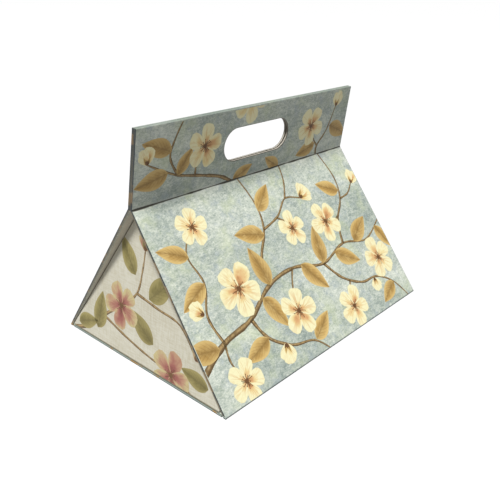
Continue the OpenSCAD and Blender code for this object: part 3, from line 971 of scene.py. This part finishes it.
def draw_blossom(films, x, y, size, turn):
    """Five petals, a heart and its stamens."""
    reach = size * BLOSSOM / MM
    hearts, layer = films["hearts"], LAYERS["hearts"]
    for k in range(PETALS):
        angle = turn + 360 * (k + 0.5) / PETALS
        petal(films["blossoms"], x, y, reach, angle, LAYERS["blossoms"] + PETAL_STEP * k)
    for k in range(STAMENS):
        angle = turn + 360 * k / STAMENS + STAMEN_STRAY * math.sin(5 * k)
        length = reach * (STAMEN_REACH + STAMEN_VARIATION * math.sin(3 * k + x))
        stamen(hearts, x, y, length, angle, layer)
        tip = Matrix.Rotation(math.radians(angle), 4, "Z") @ Vector((length, 0, 0))
        dot(hearts, x + tip.x, y + tip.y, TIP_RADIUS, layer + DOT_STEP)
    dot(hearts, x, y, HEART_SHARE * reach, layer + DOT_STEP)


def draw_bud(films, x, y, size, turn):
    """A half-open blossom from the side: petals fanned from a small cup with two pointed sepals."""
    reach = size * BLOSSOM / MM
    low, high = LAYERS["blossoms"], LAYERS["hearts"]
    for k, (spread, share) in enumerate(CUP_PETALS):
        petal(films["blossoms"], x, y, reach * share, turn + spread, low + PETAL_STEP * k, CUP_BREADTH,
            ruffle=CUP_RUFFLE)
    for spread in CUP_LEAVES:
        leaf(films["hearts"], x, y, reach * CUP_LENGTH, turn + spread, high + CUP_STEP * spread, CUP_WIDTH)
    for spread in SEPALS:
        leaf(films["leaves"], x, y, reach * SEPAL_LENGTH, turn + spread, low + SEPAL_RISE, SEPAL_WIDTH)


def draw(films, design):
    """All the shapes of one board, at the board's own origin."""
    for row in design["blossoms"]:
        draw_blossom(films, *row)
    for row in design["buds"]:
        draw_bud(films, *row)
    for x, y, size, turn in design["leaves"]:
        leaf(films["leaves"], x, y, size * LEAF / MM, turn, LAYERS["leaves"])
    for size, route in design["twigs"]:
        twig(films["twigs"], route, size * BRANCH / MM, LAYERS["twigs"])


print("a blossom has", PETALS, "petals and", STAMENS, "stamens")

# %% [markdown]
# ## Edges of the print
#
# Some shapes run past their board, where the real sheet is cut or turned over. So each ink's shapes are
# cut with one plane for each edge of the board, while they still lie flat.

# %% Edges of the print
MARGIN = 0.6 * MM
FOLD_MARGIN = 1.1 * MM
FLAP_CLEARANCE = 0.5 * MM
CUT_PRECISION = 1e-7


def cut_at(film, planes):
    """Cuts off what lies outside each plane, given as (point, outward normal) in the board's own place."""
    for point, normal in planes:
        whole = [*film.shape.verts, *film.shape.edges, *film.shape.faces]
        bmesh.ops.bisect_plane(film.shape, geom=whole, dist=CUT_PRECISION, plane_co=point, plane_no=normal,
            clear_outer=True)


def edges_of(half_length, low, high):
    """The four edges of a rectangular board as cutting planes."""
    ends = [((way * half_length, 0, 0), (way, 0, 0)) for way in (1, -1)]
    return [*ends, ((0, low, 0), (0, -1, 0)), ((0, high, 0), (0, 1, 0))]


def flap_edges(flip):
    """The three edges of an end flap, seen from outside. flip is 1 on the left and -1 on the right."""
    clear = BOARD + FLAP_CLEARANCE + MARGIN
    edges = [((0, MARGIN, 0), (0, -1, 0))]
    for side, angle in ((-1, FRONT_ANGLE), (1, BACK_ANGLE)):
        outward = -flip * side
        foot = outward * (HALF_DEPTH - clear / math.sin(angle) - FLAP_FOOT / math.tan(angle))
        edges.append(((foot, 0, 0), (outward * math.sin(angle), math.cos(angle), 0)))
    return edges


FRONT_EDGES = edges_of(HALF_LENGTH - MARGIN, FOLD_MARGIN, FRONT_LENGTH - MARGIN)
BACK_EDGES = edges_of(HALF_LENGTH - MARGIN, FOLD_MARGIN, BACK_LENGTH - MARGIN)
HANDLE_EDGES = edges_of(HALF_LENGTH - MARGIN, MARGIN, HANDLE_HEIGHT - FOLD_MARGIN)
print("the print stops", round(MARGIN / MM, 1), "mm before a board's ends")

# %% [markdown]
# ## Print on the boards
#
# Ink has hardly any height, but two surfaces in one place flicker through each other. So the flat shapes
# become plates 0.02 mm thick, just above their board's face. Each ink's plates on one side are one piece,
# which takes the place of the CAD model's plain print.

# %% Print on the boards
FILM = 0.02 * MM
WELD = 1e-6
SLOTS = {row["node"]: row["material_slot"] for row in frame["record"]["subparts"]}


def make_piece(name, shape, material):
    """A finished piece of the dressed box."""
    bmesh.ops.recalc_face_normals(shape, faces=shape.faces)
    mesh = bpy.data.meshes.new(name)
    shape.to_mesh(mesh)
    shape.free()
    mesh.materials.append(material)
    piece = new_object(name, mesh)
    print(name, len(mesh.polygons), "faces")
    return piece


def finish_films(films, side, body):
    """Puts the films of one side on their body in place of the plain print."""
    for layer, film in films.items():
        slot = SLOTS[f"{side}_print_{layer}"]
        piece = make_piece(film.name, film.shape, INKS[slot])
        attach(piece, body)
        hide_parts(f"{side}_print_{layer}")


def thicken_and_place(film, place):
    """Turns the flat shapes into thin plates and moves them onto their board."""
    bmesh.ops.remove_doubles(film.shape, verts=film.shape.verts, dist=WELD)
    bmesh.ops.dissolve_degenerate(film.shape, edges=film.shape.edges, dist=WELD)
    bmesh.ops.solidify(film.shape, geom=film.shape.faces[:], thickness=FILM)
    bmesh.ops.transform(film.shape, matrix=place, verts=film.shape.verts)


def print_of(side, boards, body):
    """The whole print of one side: boards are (board name, design, cutting planes)."""
    whole = {layer: Print(f"{side}_{layer}") for layer in LAYERS}
    for board_name, design, planes in boards:
        films = {layer: Print(layer) for layer in LAYERS}
        draw(films, design)
        for layer, film in films.items():
            cut_at(film, planes)
            thicken_and_place(film, FACES[board_name])
            flat = bpy.data.meshes.new("part")
            film.shape.to_mesh(flat)
            whole[layer].shape.from_mesh(flat)
            bpy.data.meshes.remove(flat)
            film.shape.free()
    finish_films(whole, side, body)


for side, slope_edges in (("front", FRONT_EDGES), ("back", BACK_EDGES)):
    boards = [(f"{side}_slope", SLOPE_DESIGN, slope_edges), (f"{side}_handle", HANDLE_DESIGN, HANDLE_EDGES)]
    print_of(side, boards, f"{side}_cover")
for side, flip in (("left", 1), ("right", -1)):
    print_of(side, [(f"{side}_end", END_DESIGN, flap_edges(flip))], f"{side}_end")

# %% [markdown]
# ## Lining
#
# Inside, each board is lined with a sheet of cream paper that stops a little short of its edges. The
# sheets are flat rectangles, and those on the handle boards have the hand hole cut out: its outline is a
# circle whose two halves are pulled apart, bridged to the sheet's own outline.

# %% Lining sheets
LINING = 0.12 * MM
HANDLE_LINING = 0.08 * MM
GLUE = 0.01 * MM
LINING_INSET = 1.2 * MM
LINING_OVERLAP = 0.4 * MM
HOLE_INSET = 0.8 * MM
HOLE_SIDES = 48
VALLEY = 4.5 * MM
END_INSET = 3.5 * MM
BASE_INSET = 1.0 * MM


def lining_sheet(name, face, body, half_length, low, high, thickness=LINING, depth=BOARD, hole=False):
    """A sheet on a board's inner side, from low to high up the board."""
    shape = bmesh.new()
    bmesh.ops.create_grid(shape, x_segments=1, y_segments=1, size=1)
    bmesh.ops.scale(shape, verts=shape.verts, vec=(half_length, (high - low) / 2, 1))
    bmesh.ops.translate(shape, verts=shape.verts, vec=(0, (high + low) / 2, 0))
    if hole:
        bmesh.ops.delete(shape, geom=shape.faces[:], context="FACES_ONLY")
        radius = HOLE_RADIUS + HOLE_INSET
        outline = bmesh.ops.create_circle(shape, segments=HOLE_SIDES, radius=radius)["verts"]
        for vert in outline:
            vert.co.x += math.copysign(HOLE_LENGTH / 2 - HOLE_RADIUS, vert.co.x)
        bmesh.ops.translate(shape, verts=outline, vec=(0, HOLE_MIDDLE, 0))
        bmesh.ops.bridge_loops(shape, edges=shape.edges)
    bmesh.ops.solidify(shape, geom=shape.faces[:], thickness=thickness)
    top = max(vert.co.z for vert in shape.verts)
    bmesh.ops.translate(shape, verts=shape.verts, vec=(0, 0, -depth - GLUE - top))
    bmesh.ops.transform(shape, matrix=FACES[face], verts=shape.verts)
    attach(make_piece(name, shape, lining_paper), body)


base_low, base_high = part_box("base_panel")
lining_half = HALF_LENGTH - LINING_INSET
for side, length in (("front", FRONT_LENGTH), ("back", BACK_LENGTH)):
    cover = f"{side}_cover"
    lining_sheet(f"{side}_slope_lining", f"{side}_slope", cover, lining_half, VALLEY, length + LINING_OVERLAP)
    lining_sheet(f"{side}_handle_lining", f"{side}_handle", cover, lining_half, -LINING_OVERLAP,
        HANDLE_HEIGHT - LINING_INSET, HANDLE_LINING, hole=True)
lining_sheet("base_lining", "base_top", "base", HALF_LENGTH - END_INSET, base_low.y + BASE_INSET,
    base_high.y - BASE_INSET, depth=-2 * GLUE - LINING)

# %% [markdown]
# ## Folds
#
# The lining runs over the folds from the base to each cover and each end flap. Such a strip is a band of quads
# from the base to the board.

# %% Fold papers
FOLD_PAPER = 0.08 * MM
FOLD_GRID = (4, 10)
FLAP_RISE = 0.3 * MM
FLAP_INSET = LINING_INSET + 1.5 * MM
FLAP_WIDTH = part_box("left_end_panel")[1].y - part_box("left_end_panel")[0].y


def fold_paper(name, on_base, on_board, run, half_run):
    """A strip from a line on the base to a line on a board. Both lines run along run."""
    shape = bmesh.new()
    bmesh.ops.create_grid(shape, x_segments=FOLD_GRID[0], y_segments=FOLD_GRID[1], size=0.5)
    for vert in shape.verts:
        vert.co = on_base.lerp(on_board, vert.co.y + 0.5) + run * (2 * half_run * vert.co.x)
    bmesh.ops.recalc_face_normals(shape, faces=shape.faces)
    bmesh.ops.solidify(shape, geom=shape.faces[:], thickness=FOLD_PAPER)
    piece = make_piece(name, shape, lining_paper)
    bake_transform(piece)


lining_top = BOARD + LINING + 2 * GLUE
for side, edge in (("front", base_low.y + BASE_INSET), ("back", base_high.y - BASE_INSET)):
    board_line = FACES[f"{side}_slope"] @ Vector((0, VALLEY, -BOARD - LINING - GLUE))
    fold_paper(f"{side}_fold_paper", Vector((0, edge, lining_top)), board_line, Vector((1, 0, 0)),
        HALF_LENGTH - END_INSET)
for side, way in (("left", -1), ("right", 1)):
    board_line = FACES[f"{side}_end"] @ Vector((0, FLAP_RISE, -BOARD - FOLD_PAPER - GLUE))
    fold_paper(f"{side}_fold_paper", Vector((way * (HALF_LENGTH - END_INSET), 0, lining_top)), board_line,
        Vector((0, 1, 0)), FLAP_WIDTH / 2 - FLAP_INSET)
